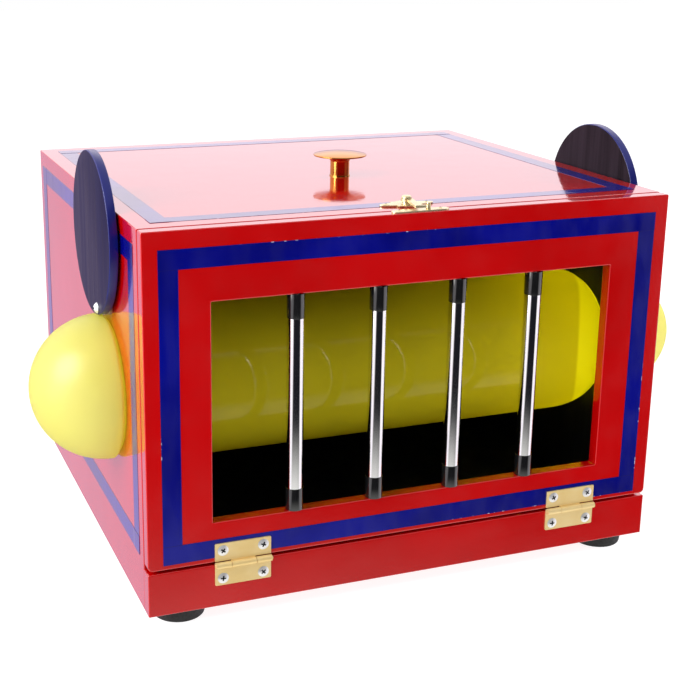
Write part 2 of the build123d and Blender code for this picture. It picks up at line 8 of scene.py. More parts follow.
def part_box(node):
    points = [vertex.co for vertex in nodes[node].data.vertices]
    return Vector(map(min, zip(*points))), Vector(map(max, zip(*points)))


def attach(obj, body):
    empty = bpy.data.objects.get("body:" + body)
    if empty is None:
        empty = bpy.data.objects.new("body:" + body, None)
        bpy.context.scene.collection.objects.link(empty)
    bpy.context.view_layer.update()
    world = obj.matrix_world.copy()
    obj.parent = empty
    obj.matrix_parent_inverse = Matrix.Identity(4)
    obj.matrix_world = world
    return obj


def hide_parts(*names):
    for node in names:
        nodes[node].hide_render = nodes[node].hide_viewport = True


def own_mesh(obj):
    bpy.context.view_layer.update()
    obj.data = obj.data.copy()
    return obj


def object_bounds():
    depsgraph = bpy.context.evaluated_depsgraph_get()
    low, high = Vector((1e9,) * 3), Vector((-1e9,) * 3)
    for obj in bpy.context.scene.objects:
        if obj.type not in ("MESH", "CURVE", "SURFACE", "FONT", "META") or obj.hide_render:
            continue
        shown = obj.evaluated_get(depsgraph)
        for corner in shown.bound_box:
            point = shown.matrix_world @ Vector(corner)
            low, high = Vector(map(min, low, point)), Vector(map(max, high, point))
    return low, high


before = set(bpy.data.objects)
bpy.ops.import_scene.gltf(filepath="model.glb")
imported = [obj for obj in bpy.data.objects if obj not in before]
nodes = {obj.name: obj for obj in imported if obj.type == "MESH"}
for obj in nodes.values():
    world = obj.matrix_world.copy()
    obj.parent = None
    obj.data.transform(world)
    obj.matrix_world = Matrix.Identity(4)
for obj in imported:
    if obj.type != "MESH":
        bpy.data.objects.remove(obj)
cadLow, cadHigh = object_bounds()
sideLow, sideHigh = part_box("left_side_panel")
railLow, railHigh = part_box("front_rail")
topLow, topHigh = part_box("top_panel")
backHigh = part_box("back_panel")[1]
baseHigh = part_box("base_board")[1]
doorLow = Vector(map(min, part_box("door_left_stile")[0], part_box("door_bottom_rail")[0]))
doorHigh = Vector(map(max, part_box("door_right_stile")[1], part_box("door_top_rail")[1]))
balloonLow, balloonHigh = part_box("balloon")
balloonAxis = (balloonLow + balloonHigh) / 2
outX, innerX = topHigh.x, -sideHigh.x
mm = 0.001
weldDistance = 0.01 * mm
print("frame loaded, nodes:", len(nodes))


# small helpers for node trees

def addNode(tree, kind, inputs=None, **settings):
    made = tree.nodes.new(kind)
    for key, value in settings.items():
        setattr(made, key, value)
    for key, value in (inputs or {}).items():
        if isinstance(value, bpy.types.NodeSocket):
            tree.links.new(value, made.inputs[key])
        else:
            made.inputs[key].default_value = value
    return made


def calc(tree, operation, *values, clamp=False):
    inputs = dict(enumerate(values))
    return addNode(tree, "ShaderNodeMath", inputs, operation=operation, use_clamp=clamp).outputs[0]


def ramp(tree, value, low, high, outLow=0.0, outHigh=1.0):
    inputs = {"Value": value, "From Min": low, "From Max": high, "To Min": outLow, "To Max": outHigh}
    return addNode(tree, "ShaderNodeMapRange", inputs, interpolation_type="SMOOTHSTEP").outputs[0]


def blendColor(tree, factor, first, second):
    mix = addNode(tree, "ShaderNodeMix", {0: factor, 6: first, 7: second}, data_type="RGBA")
    return mix.outputs[2]


def rgb(red, green, blue):
    return (red, green, blue, 1.0)


# finishes

def newFinish(name, constants):
    material = bpy.data.materials.new(name)
    material.use_nodes = True
    shader = material.node_tree.nodes["Principled BSDF"]
    for label, value in constants.items():
        shader.inputs[label].default_value = value
    return material, material.node_tree, shader


def noiseOn(tree, scale, detail=2.0, stretch=(1.0, 1.0, 1.0), roughness=0.5):
    place = addNode(tree, "ShaderNodeTexCoord").outputs["Object"]
    turned = addNode(tree, "ShaderNodeMapping", {"Vector": place, "Scale": stretch}).outputs[0]
    inputs = {"Vector": turned, "Scale": scale, "Detail": detail, "Roughness": roughness}
    return addNode(tree, "ShaderNodeTexNoise", inputs).outputs["Fac"]


def addBump(tree, shader, height, strength, depth=0.001):
    bump = addNode(tree, "ShaderNodeBump", {"Height": height, "Strength": strength, "Distance": depth})
    tree.links.new(bump.outputs[0], shader.inputs["Normal"])
    return bump.outputs[0]


lacquerLook = {
    "deep": rgb(0.47, 0.0004, 0.0007),
    "fresh": rgb(0.54, 0.0012, 0.0020),
    "cloudScale": 9.0,
    "peelScale": 420.0,
    "waveScale": 26.0,
    "scuffColor": rgb(0.20, 0.004, 0.006),
}


def makeRedLacquer():
    look = lacquerLook
    material, tree, shader = newFinish(
        "redLacquer",
        {"Roughness": 0.10, "IOR": 1.5, "Coat Weight": 1.0, "Coat Roughness": 0.015, "Coat IOR": 1.5},
    )
    clouds = ramp(tree, noiseOn(tree, look["cloudScale"], 3.0), 0.35, 0.65)
    color = blendColor(tree, clouds, look["deep"], look["fresh"])
    dust = ramp(tree, noiseOn(tree, 900.0, 1.0), 0.74, 0.80, 0.0, 0.5)
    tree.links.new(blendColor(tree, dust, color, look["scuffColor"]), shader.inputs["Base Color"])
    tree.links.new(ramp(tree, noiseOn(tree, 60.0, 4.0), 0.3, 0.8, 0.07, 0.15), shader.inputs["Roughness"])
    waves = calc(tree, "MULTIPLY", noiseOn(tree, look["waveScale"], 1.0), 6.0)
    peel = calc(tree, "ADD", waves, noiseOn(tree, look["peelScale"], 2.0))
    normal = addBump(tree, shader, peel, 0.06, 0.0004)
    tree.links.new(normal, shader.inputs["Coat Normal"])
    return material


def makeInsideBlack():
    material, tree, shader = newFinish("insideBlack", {"Specular IOR Level": 0.25})
    brush = noiseOn(tree, 70.0, 4.0, (1.0, 1.0, 0.15))
    color = blendColor(tree, brush, rgb(0.0025, 0.0025, 0.003), rgb(0.006, 0.006, 0.007))
    tree.links.new(color, shader.inputs["Base Color"])
    tree.links.new(ramp(tree, brush, 0.3, 0.7, 0.48, 0.66), shader.inputs["Roughness"])
    addBump(tree, shader, brush, 0.25)
    return material


tapeLook = {
    "blue": rgb(0.0004, 0.0020, 0.23),
    "deepBlue": rgb(0.0003, 0.0010, 0.15),
    "edgeShadeAndAdhesive": rgb(0.012, 0.008, 0.09),
    # pale colour of the painted glints: painted highlight
    "glintColor": rgb(0.55, 0.58, 0.78),
}


def makeBlueTape():
    look = tapeLook
    material, tree, shader = newFinish(
        "blueTape",
        {"Roughness": 0.2, "IOR": 1.5, "Coat Weight": 0.8, "Coat Roughness": 0.06},
    )
    color = blendColor(tree, ramp(tree, noiseOn(tree, 14.0, 3.0), 0.35, 0.65), look["blue"], look["deepBlue"])
    across = addNode(tree, "ShaderNodeAttribute", attribute_name="across").outputs["Fac"]
    distance = calc(tree, "ABSOLUTE", across)
    # darker along the outer edges of each strip: painted shade of the raised tape edge, together with dirty
    # adhesive
    color = blendColor(tree, ramp(tree, distance, 0.93, 0.99, 0.0, 0.75), color, look["edgeShadeAndAdhesive"])
    # painted highlights: pale ragged glints in patches near one edge of each strip
    nearEdge = ramp(tree, across, 0.90, 0.96)
    glintPatches = ramp(tree, noiseOn(tree, 7.0, 1.0), 0.56, 0.62)
    ragged = ramp(tree, noiseOn(tree, 260.0, 5.0), 0.58, 0.64)
    glints = calc(tree, "MULTIPLY", calc(tree, "MULTIPLY", nearEdge, glintPatches), ragged)
    color = blendColor(tree, glints, color, look["glintColor"])
    tree.links.new(color, shader.inputs["Base Color"])
    stretchMarks = noiseOn(tree, 120.0, 3.0, (1.0, 1.0, 0.3))
    tree.links.new(ramp(tree, stretchMarks, 0.3, 0.7, 0.10, 0.20), shader.inputs["Roughness"])
    addBump(tree, shader, stretchMarks, 0.12, 0.0003)
    return material


metalLook = {
    # rough is the lowest and highest roughness; stretch draws the grain out along one axis
    "brassPlate": {
        "bright": rgb(0.95, 0.74, 0.36), "dull": rgb(0.90, 0.66, 0.27), "rough": (0.44, 0.58),
        "grain": 520.0, "stretch": (0.05, 1.0, 1.0), "bump": 0.12, "metallic": 0.5,
    },
    "polishedBrass": {
        "bright": rgb(0.60, 0.27, 0.06), "dull": rgb(0.50, 0.21, 0.04), "rough": (0.04, 0.10),
        "grain": 160.0, "stretch": (1.0, 1.0, 1.0), "bump": 0.04, "metallic": 1.0,
    },
    "paleBrass": {
        "bright": rgb(0.90, 0.80, 0.50), "dull": rgb(0.78, 0.66, 0.38), "rough": (0.20, 0.36),
        "grain": 380.0, "stretch": (0.1, 1.0, 1.0), "bump": 0.2, "metallic": 0.8,
    },
    "zincSteel": {
        "bright": rgb(0.93, 0.93, 0.93), "dull": rgb(0.80, 0.80, 0.81), "rough": (0.28, 0.42),
        "grain": 420.0, "stretch": (1.0, 1.0, 1.0), "bump": 0.15, "metallic": 0.65,
    },
    "chromePlate": {
        "bright": rgb(0.90, 0.89, 0.90), "dull": rgb(0.86, 0.84, 0.86), "rough": (0.09, 0.14),
        "grain": 60.0, "stretch": (1.0, 1.0, 0.1), "bump": 0.0, "metallic": 1.0,
    },
    # painted shade: near-black grey for the faces of each screw's cross recess, where shade falls
    "recessPaintedShade": {
        "bright": rgb(0.030, 0.030, 0.032), "dull": rgb(0.012, 0.012, 0.013), "rough": (0.5, 0.7),
        "grain": 300.0, "stretch": (1.0, 1.0, 1.0), "bump": 0.0, "metallic": 0.3,
    },
}


def makeMetal(name):
    look = metalLook[name]
    material, tree, shader = newFinish(name, {"Metallic": look["metallic"]})
    stain = ramp(tree, noiseOn(tree, 45.0, 4.0), 0.32, 0.70)
    tree.links.new(blendColor(tree, stain, look["bright"], look["dull"]), shader.inputs["Base Color"])
    grain = noiseOn(tree, look["grain"], 3.0, look["stretch"])
    tree.links.new(ramp(tree, grain, 0.3, 0.7, *look["rough"]), shader.inputs["Roughness"])
    if look["bump"]:
        addBump(tree, shader, grain, look["bump"], 0.0002)
    return material


def makeGloss(name, color, second, roughness, coat=1.0, bumpStrength=0.05):
    material, tree, shader = newFinish(name, {"Coat Weight": coat, "Coat Roughness": 0.05, "IOR": 1.5})
    cloud = noiseOn(tree, 40.0, 3.0)
    tree.links.new(blendColor(tree, cloud, color, second), shader.inputs["Base Color"])
    tree.links.new(ramp(tree, cloud, 0.3, 0.7, roughness * 0.8, roughness * 1.3), shader.inputs["Roughness"])
    addBump(tree, shader, noiseOn(tree, 300.0, 2.0), bumpStrength, 0.0003)
    return material


def makeRubber():
    material, tree, shader = newFinish("footRubber", {"Specular IOR Level": 0.35})
    grit = noiseOn(tree, 700.0, 4.0)
    color = blendColor(tree, noiseOn(tree, 60.0, 3.0), rgb(0.010, 0.010, 0.011), rgb(0.026, 0.025, 0.025))
    tree.links.new(color, shader.inputs["Base Color"])
    tree.links.new(ramp(tree, grit, 0.3, 0.7, 0.50, 0.75), shader.inputs["Roughness"])
    addBump(tree, shader, grit, 0.35, 0.0004)
    return material


coverLook = {
    "outside": (rgb(0.004, 0.0035, 0.025), rgb(0.011, 0.010, 0.042)),
    "inside": (rgb(0.012, 0.008, 0.012), rgb(0.026, 0.018, 0.026)),
    "streakScale": 130.0,
}


def makeCoverPaint(name, face, streak):
    material, tree, shader = newFinish(name, {"Specular IOR Level": 0.05, "IOR": 1.5})
    streaks = noiseOn(tree, coverLook["streakScale"], 5.0, (1.0, 1.0, 0.05), 0.6)
    color = blendColor(tree, ramp(tree, streaks, 0.35, 0.7), face, streak)
    tree.links.new(color, shader.inputs["Base Color"])
    tree.links.new(ramp(tree, streaks, 0.3, 0.7, 0.26, 0.42), shader.inputs["Roughness"])
    addBump(tree, shader, streaks, 0.15, 0.0004)
    return material


latexLook = {
    # the skin inside the case; the blown ends below are a painted-bright copy of it
    "snug": {
        "yellow": rgb(0.62, 0.55, 0.018), "thin": rgb(0.74, 0.69, 0.024), "behind": rgb(0.84, 0.76, 0.025),
        "letThrough": 0.60, "rough": 0.14, "specular": 0.12, "coat": 0.9, "coatRough": 0.03,
    },
    # round each hole the skin is painted brighter: painted light, standing in for the light that comes in
    # through each side hole
    "drawn": {
        "color": rgb(0.96, 0.88, 0.030), "behind": rgb(0.99, 0.94, 0.035),
        "reach": 30.0 * mm, "rise": 52.0 * mm,
    },
    # the skin blown out of the two holes, a copy of the latex painted paler and whiter: painted light and
    # painted highlight for the brightly lit bulges
    "blown": {
        "yellow": rgb(0.95, 0.94, 0.28), "thin": rgb(0.97, 0.96, 0.46), "behind": rgb(0.97, 0.95, 0.40),
        "letThrough": 0.68, "rough": 0.42, "specular": 1.0, "coat": 1.0, "coatRough": 0.30,
    },
}


def nearHole(tree, drawn):
    # 1 within half an ellipse at each side hole, 0 elsewhere
    place = addNode(tree, "ShaderNodeTexCoord").outputs["Object"]
    parts = addNode(tree, "ShaderNodeSeparateXYZ", {0: place}).outputs
    fromPanel = calc(tree, "SUBTRACT", innerX, calc(tree, "ABSOLUTE", parts[0]))
    fromAxis = calc(tree, "SUBTRACT", parts[2], balloonAxis.z)
    outward = calc(tree, "POWER", calc(tree, "DIVIDE", fromPanel, drawn["reach"]), 2.0)
    upward = calc(tree, "POWER", calc(tree, "DIVIDE", fromAxis, drawn["rise"]), 2.0)
    return ramp(tree, calc(tree, "ADD", outward, upward), 0.90, 1.08, 1.0, 0.0)


def makeLatex(name, look, drawn=None):
    material, tree, shader = newFinish(name, {
        "Specular IOR Level": look["specular"],
        "Coat Weight": look["coat"],
        "Coat Roughness": look["coatRough"],
    })
    cloud = noiseOn(tree, 16.0, 2.0)
    color = blendColor(tree, cloud, look["yellow"], look["thin"])
    behind = look["behind"]
    if drawn:
        # painted light: brighter skin and translucent colour near each side hole
        holeLight = nearHole(tree, drawn)
        color = blendColor(tree, holeLight, color, drawn["color"])
        behind = blendColor(tree, holeLight, behind, drawn["behind"])
    tree.links.new(color, shader.inputs["Base Color"])
    rough = look["rough"]
    tree.links.new(ramp(tree, cloud, 0.3, 0.7, rough * 0.8, rough * 1.2), shader.inputs["Roughness"])
    addBump(tree, shader, noiseOn(tree, 30.0, 2.0), 0.04, 0.0005)
    glow = addNode(tree, "ShaderNodeBsdfTranslucent", {"Color": behind})
    layers = {0: look["letThrough"], 1: shader.outputs[0], 2: glow.outputs[0]}
    mixed = addNode(tree, "ShaderNodeMixShader", layers)
    tree.links.new(mixed.outputs[0], tree.nodes["Material Output"].inputs["Surface"])
    return material


redLacquer = makeRedLacquer()
insideBlack = makeInsideBlack()
blueTape = makeBlueTape()
metals = [makeMetal(name) for name in metalLook]
brass, polishedBrass, paleBrass, zincSteel, chrome, recessPaintedShade = metals
glossBlack = makeGloss("glossBlack", rgb(0.004, 0.004, 0.004), rgb(0.009, 0.009, 0.010), 0.12)
coverEdgeBlue = makeGloss("coverEdgeBlue", rgb(0.001, 0.006, 0.17), rgb(0.001, 0.003, 0.10), 0.30, 0.08)
nylonWhite = makeGloss("nylonWasher", rgb(0.70, 0.70, 0.66), rgb(0.60, 0.60, 0.56), 0.40, 0.0)
footRubber = makeRubber()
coverPaint = makeCoverPaint("coverPaint", *coverLook["outside"])
coverBack = makeCoverPaint("coverBack", *coverLook["inside"])
latexYellow = makeLatex("latexYellow", latexLook["snug"], latexLook["drawn"])
latexPaintedBright = makeLatex("latexPaintedBright", latexLook["blown"])
print("finishes made")


# pieces: from a mesh to a riding, named piece

def addPiece(name, mesh, body, finishes, replaced=(), smoothAngle=32):
    mesh.name = name
    for finish in finishes or ():
        mesh.materials.append(finish)
    mesh.shade_smooth()
    mesh.set_sharp_from_angle(angle=math.radians(smoothAngle))
    piece = bpy.data.objects.new(name, mesh)
    bpy.context.scene.collection.objects.link(piece)
    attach(piece, body)
    if replaced:
        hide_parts(*replaced)
    return piece


def cadCopy(*names):
    shape = bmesh.new()
    for name in names:
        shape.from_mesh(nodes[name].data)
    bmesh.ops.remove_doubles(shape, verts=shape.verts, dist=weldDistance)
    bmesh.ops.dissolve_limit(shape, angle_limit=math.radians(0.4), verts=shape.verts, edges=shape.edges)
    return shape


def roundEdges(shape, width, segments, wanted):
    chosen = []
    for edge in shape.edges:
        if len(edge.link_faces) != 2 or edge.calc_face_angle(0.0) < math.radians(35):
            continue
        if wanted((edge.verts[0].co + edge.verts[1].co) / 2):
            chosen.append(edge)
    bmesh.ops.bevel(
        shape, geom=chosen, offset=width, segments=segments, profile=0.5, affect="EDGES", clamp_overlap=True,
    )


def meshOf(shape, name, pickFinish=None):
    mesh = bpy.data.meshes.new(name)
    shape.normal_update()
    if pickFinish:
        for face in shape.faces:
            face.material_index = pickFinish(face.normal, face.calc_center_median())
    shape.to_mesh(mesh)
    shape.free()
    return mesh


def weighNormals(piece):
    modifier = piece.modifiers.new("evenShading", "WEIGHTED_NORMAL")
    modifier.keep_sharp = True
    modifier.weight = 60


def facing(centre, direction):
    normal = Vector(direction).normalized()
    upward = Vector((0, 1, 0)) if abs(normal.z) > 0.9 else Vector((0, 0, 1))
    level = upward.cross(normal)
    turn = Matrix((level, upward, normal)).transposed().to_4x4()
    return Matrix.Translation(centre) @ turn


def middleOf(low, high):
    return (low + high) / 2


# geometry node trees

def newTree(name, sockets):
    tree = bpy.data.node_groups.new(name, "GeometryNodeTree")
    tree.interface.new_socket("Geometry", in_out="OUTPUT", socket_type="NodeSocketGeometry")
    tree.interface.new_socket("Geometry", in_out="INPUT", socket_type="NodeSocketGeometry")
    for label, kind in sockets:
        tree.interface.new_socket(label, in_out="INPUT", socket_type="NodeSocket" + kind)
    entry = tree.nodes.new("NodeGroupInput")
    leaving = tree.nodes.new("NodeGroupOutput")
    return tree, entry.outputs, leaving.inputs[0]


def painted(tree, geometry, finish):
    return addNode(tree, "GeometryNodeSetMaterial", {"Geometry": geometry, "Material": finish}).outputs[0]


def moved(tree, geometry, changes):
    return addNode(tree, "GeometryNodeTransform", {"Geometry": geometry, **changes}).outputs[0]


def endTree(tree, leaving, geometry):
    whole = addNode(tree, "GeometryNodeRealizeInstances", {"Geometry": geometry}).outputs[0]
    tree.links.new(whole, leaving)


def meshFromTree(tree, values, points=()):
    source = bpy.data.meshes.new(tree.name + "Points")
    source.from_pydata([tuple(p) for p in points], [], [])
    holder = bpy.data.objects.new(tree.name + "Holder", source)
    bpy.context.scene.collection.objects.link(holder)
    modifier = holder.modifiers.new(tree.name, "NODES")
    modifier.node_group = tree
    for item in tree.interface.items_tree:
        if item.in_out == "INPUT" and item.name in values:
            modifier[item.identifier] = values[item.name]
    holder.update_tag()
    depsgraph = bpy.context.evaluated_depsgraph_get()
    evaluated = holder.evaluated_get(depsgraph)
    mesh = bpy.data.meshes.new_from_object(evaluated, preserve_all_data_layers=True, depsgraph=depsgraph)
    holder.modifiers.remove(modifier)
    bpy.data.objects.remove(holder)
    return mesh


def combine(tree, x=0.0, y=0.0, z=0.0):
    return addNode(tree, "ShaderNodeCombineXYZ", {0: x, 1: y, 2: z}).outputs[0]


screwLook = {
    # shares of the head's radius
    "rimHeight": 0.28,
    "recessLength": 1.12,
    "recessWidth": 0.29,
    "recessDepth": 0.22,
    "shankRadius": 0.4,
    # the corners of the cutting wedge's tip stand this far from its middle, where its top has side 1
    "wedgeTip": 0.22,
    # the wedge's top stands this many domes above the rim, so that it clears the crown
    "wedgeStart": 1.15,
}


def makeScrewTree():
    # oval heads with a cross recess, one on each point, each turned its own way
    tree, given, leaving = newTree("crossHeadScrews", [
        ("Head Radius", "Float"), ("Dome", "Float"), ("Recess Length", "Float"), ("Recess Width", "Float"),
        ("Recess Depth", "Float"), ("Shank Radius", "Float"), ("Shank Length", "Float"), ("Seed", "Int"),
        ("Finish", "Material"), ("Recess Shade Paint", "Material"),
    ])
    radius, dome = given["Head Radius"], given["Dome"]
    rim = calc(tree, "MULTIPLY", radius, screwLook["rimHeight"])
    head = addNode(tree, "GeometryNodeMeshCone", {
        "Vertices": 56, "Side Segments": 1, "Fill Segments": 9, "Radius Top": radius,
        "Radius Bottom": calc(tree, "SUBTRACT", radius, rim), "Depth": rim,
    }).outputs["Mesh"]
    place = addNode(tree, "GeometryNodeInputPosition").outputs[0]
    parts = addNode(tree, "ShaderNodeSeparateXYZ", {0: place}).outputs
    flat = addNode(tree, "ShaderNodeVectorMath", {0: combine(tree, parts[0], parts[1])}, operation="LENGTH")
    share = calc(tree, "DIVIDE", flat.outputs["Value"], radius)
    crown = calc(tree, "MULTIPLY", dome, calc(tree, "SUBTRACT", 1.0, calc(tree, "MULTIPLY", share, share)))
    isTop = calc(tree, "GREATER_THAN", parts[2], calc(tree, "MULTIPLY", rim, 0.5))
    lift = combine(tree, 0.0, 0.0, calc(tree, "SUBTRACT", calc(tree, "MULTIPLY", crown, isTop), rim))
    head = addNode(tree, "GeometryNodeSetPosition", {"Geometry": head, "Offset": lift}).outputs[0]
    head = painted(tree, head, given["Finish"])
    wedge = addNode(tree, "GeometryNodeMeshCone", {
        "Vertices": 4, "Side Segments": 1, "Fill Segments": 1, "Depth": 1.0,
        "Radius Top": 0.7071,  # half the diagonal of a square of side 1
        "Radius Bottom": screwLook["wedgeTip"],
    }).outputs["Mesh"]
    # the cutting wedge carries the painted shade into the recess faces
    wedge = painted(tree, moved(tree, wedge, {"Rotation": (0, 0, math.pi / 4)}), given["Recess Shade Paint"])
    start = calc(tree, "MULTIPLY", dome, screwLook["wedgeStart"])
    sink = combine(tree, 0.0, 0.0, calc(tree, "SUBTRACT", start, given["Recess Depth"]))
    for long, short in (("Recess Length", "Recess Width"), ("Recess Width", "Recess Length")):
        size = combine(tree, given[long], given[short], given["Recess Depth"])
        pair = {"Mesh 1": head, "Mesh 2": moved(tree, wedge, {"Translation": sink, "Scale": size})}
        head = addNode(tree, "GeometryNodeMeshBoolean", pair, operation="DIFFERENCE").outputs[0]
    shank = addNode(tree, "GeometryNodeMeshCylinder", {
        "Vertices": 24, "Radius": given["Shank Radius"], "Depth": given["Shank Length"],
    }).outputs["Mesh"]
    depth = calc(tree, "SUBTRACT", calc(tree, "MULTIPLY", given["Shank Length"], -0.5), rim)
    shank = moved(tree, shank, {"Translation": combine(tree, 0.0, 0.0, depth)})
    screw = addNode(tree, "GeometryNodeJoinGeometry")
    tree.links.new(head, screw.inputs[0])
    tree.links.new(painted(tree, shank, given["Finish"]), screw.inputs[0])
    anyTurn = {"Min": 0.0, "Max": 6.283, "Seed": given["Seed"]}
    spin = addNode(tree, "FunctionNodeRandomValue", anyTurn, data_type="FLOAT")
    angle = next(s for s in spin.outputs if s.enabled)
    put = addNode(tree, "GeometryNodeInstanceOnPoints", {
        "Points": given["Geometry"], "Instance": screw.outputs[0], "Rotation": combine(tree, 0.0, 0.0, angle),
    })
    endTree(tree, leaving, put.outputs[0])
    return tree


def makeTubeRowTree():
    # a row of upright tubes with rounded lips, centred on the origin
    tree, given, leaving = newTree("tubeRow", [
        ("Radius", "Float"), ("Wall", "Float"), ("Height", "Float"), ("Lip", "Float"), ("Count", "Int"),
        ("Pitch", "Float"), ("Finish", "Material"),
    ])
    size = {"Width": given["Wall"], "Height": given["Height"]}
    wall = addNode(tree, "GeometryNodeCurvePrimitiveQuadrilateral", size).outputs[0]
    lips = {"Curve": wall, "Radius": given["Lip"], "Count": 4, "Limit Radius": True}
    wall = addNode(tree, "GeometryNodeFilletCurve", lips, mode="POLY").outputs[0]
    midRadius = calc(tree, "SUBTRACT", given["Radius"], calc(tree, "MULTIPLY", given["Wall"], 0.5))
    ring = {"Resolution": 72, "Radius": midRadius}
    circle = addNode(tree, "GeometryNodeCurvePrimitiveCircle", ring, mode="RADIUS").outputs[0]
    tube = addNode(tree, "GeometryNodeCurveToMesh", {"Curve": circle, "Profile Curve": wall}).outputs[0]
    half = calc(tree, "MULTIPLY", calc(tree, "SUBTRACT", given["Count"], 1.0), -0.5)
    start = combine(tree, calc(tree, "MULTIPLY", half, given["Pitch"]))
    steps = {"Count": given["Count"], "Start Location": start, "Offset": combine(tree, given["Pitch"])}
    row = addNode(tree, "GeometryNodeMeshLine", steps, mode="OFFSET").outputs[0]
    put = addNode(tree, "GeometryNodeInstanceOnPoints", {"Points": row, "Instance": tube})
    endTree(tree, leaving, painted(tree, put.outputs[0], given["Finish"]))
    return tree


def makeTapeTree():
    # four strips round a rectangle: the upright ones first, the level ones lapped over them at the corners
    tree, given, leaving = newTree("tapeBorder", [
        ("Width", "Float"), ("Height", "Float"), ("Tape Width", "Float"), ("Thickness", "Float"),
        ("Wander", "Float"), ("Seed", "Int"), ("Finish", "Material"),
    ])
    tapeWidth, thickness = given["Tape Width"], given["Thickness"]

    def strip(length, lapped, side):
        sheet = addNode(tree, "GeometryNodeMeshGrid", {
            "Size X": length, "Size Y": tapeWidth, "Vertices X": 180, "Vertices Y": 7,
        }).outputs["Mesh"]
        place = addNode(tree, "GeometryNodeInputPosition").outputs[0]
        parts = addNode(tree, "ShaderNodeSeparateXYZ", {0: place}).outputs
        across = calc(tree, "DIVIDE", parts[1], calc(tree, "MULTIPLY", tapeWidth, 0.5 * side))
        sheet = addNode(tree, "GeometryNodeStoreNamedAttribute", {
            "Geometry": sheet, "Name": "across", "Value": across,
        }, data_type="FLOAT", domain="POINT").outputs[0]
        seeded = calc(tree, "ADD", given["Seed"], 3.7 * side + (11.0 if lapped else 0.0))
        noise = {"Vector": place, "W": seeded, "Scale": 9.0, "Detail": 2.0}
        wave = addNode(tree, "ShaderNodeTexNoise", noise, noise_dimensions="4D").outputs["Fac"]
        sway = calc(tree, "MULTIPLY", calc(tree, "SUBTRACT", wave, 0.5), given["Wander"])
        over = 0.0
        if lapped:
            halfLength = calc(tree, "MULTIPLY", length, 0.5)
            fromEnd = calc(tree, "SUBTRACT", halfLength, calc(tree, "ABSOLUTE", parts[0]))
            over = ramp(tree, fromEnd, calc(tree, "MULTIPLY", tapeWidth, 1.15), tapeWidth, 0.0, thickness)
        shift = {"Geometry": sheet, "Offset": combine(tree, 0.0, sway, over)}
        sheet = addNode(tree, "GeometryNodeSetPosition", shift).outputs[0]
        raised = addNode(tree, "GeometryNodeExtrudeMesh", {
            "Mesh": sheet, "Offset": (0, 0, 1), "Offset Scale": thickness, "Individual": False,
        }, mode="FACES").outputs["Mesh"]
        under = addNode(tree, "GeometryNodeFlipFaces", {"Mesh": sheet}).outputs[0]
        both = addNode(tree, "GeometryNodeJoinGeometry")
        tree.links.new(raised, both.inputs[0])
        tree.links.new(under, both.inputs[0])
        touching = {"Geometry": both.outputs[0], "Distance": 0.005 * mm}
        return addNode(tree, "GeometryNodeMergeByDistance", touching).outputs[0]

    joined = addNode(tree, "GeometryNodeJoinGeometry")
    for side in (1, -1):
        inset = calc(tree, "MULTIPLY", calc(tree, "SUBTRACT", given["Height"], tapeWidth), 0.5 * side)
        level = moved(tree, strip(given["Width"], True, side), {"Translation": combine(tree, 0.0, inset)})
        tree.links.new(level, joined.inputs[0])
        inset = calc(tree, "MULTIPLY", calc(tree, "SUBTRACT", given["Width"], tapeWidth), -0.5 * side)
        turn = {"Translation": combine(tree, inset), "Rotation": (0, 0, math.pi / 2)}
        tree.links.new(moved(tree, strip(given["Height"], False, side), turn), joined.inputs[0])
    endTree(tree, leaving, painted(tree, joined.outputs[0], given["Finish"]))
    return tree


screwTree = makeScrewTree()
tubeRowTree = makeTubeRowTree()
tapeTree = makeTapeTree()
print("node trees made")


# the case: lacquered outside, black inside

boardLook = {"edgeRadius": 0.8 * mm, "edgeSegments": 4, "near": 0.05 * mm, "holeWallReach": 3 * mm}


def close(a, b):
    return abs(a - b) < boardLook["near"]


def onOuterEdge(middle):
    # the free edges of the whole case, so that flush joints between boards stay unseen
    atSide = close(abs(middle.x), outX)
    atFront, atBack = close(middle.y, sideLow.y), close(middle.y, backHigh.y)
    atTop, atBottom = close(middle.z, topHigh.z), close(middle.z, 0.0)
    return sum((atSide, atFront or atBack, atTop or atBottom)) >= 2


def caseFinish(normal, centre):
    insideX = normal.x * centre.x < 0 and abs(normal.x) > 0.9
    insideY = normal.y < -0.9 and centre.y > 0 or normal.y > 0.9 and centre.y < railHigh.y + mm
    insideZ = normal.z < -0.9 and centre.z > baseHigh.z + mm or normal.z > 0.9 and close(centre.z, baseHigh.z)
    inPanel = abs(abs(centre.x) - (outX + innerX) / 2) < boardLook["holeWallReach"]
    offEdges = railHigh.z < centre.z < topLow.z - mm and abs(centre.y) < abs(sideLow.y) - mm
    onHoleWall = abs(normal.x) < 0.5 and inPanel and offEdges
    return 1 if insideX or insideY or insideZ or onHoleWall else 0


for node in ("left_side_panel", "right_side_panel", "top_panel", "back_panel", "base_board"):
    shape = cadCopy(node)
    roundEdges(shape, boardLook["edgeRadius"], boardLook["edgeSegments"], onOuterEdge)
    board = addPiece(node + "_lacquered", meshOf(shape, node, caseFinish), "case",
                     [redLacquer, insideBlack], [node])
    weighNormals(board)


def onRailEdge(middle):
    atFront, atSide = close(middle.y, railLow.y), close(abs(middle.x), railHigh.x)
    atTop, atBottom = close(middle.z, railHigh.z), close(middle.z, 0.0)
    return atTop or sum((atFront, atSide, atBottom)) >= 2


shape = cadCopy("front_rail")
roundEdges(shape, boardLook["edgeRadius"], boardLook["edgeSegments"], onRailEdge)
rail = addPiece("front_rail_lacquered", meshOf(shape, "front_rail"), "case", [redLacquer],
                ["front_rail"])
weighNormals(rail)
print("case boards made")


# the door frame: one lacquered board with its window cut out

doorLook = {
    "edgeRadius": 0.9 * mm,
    "edgeSegments": 3,
    "lowerCornerRadius": 3.5 * mm,
    "upperCornerRadius": 1.2 * mm,
    "windowCornerRadius": 0.6 * mm,
    "cornerSteps": 8,
}


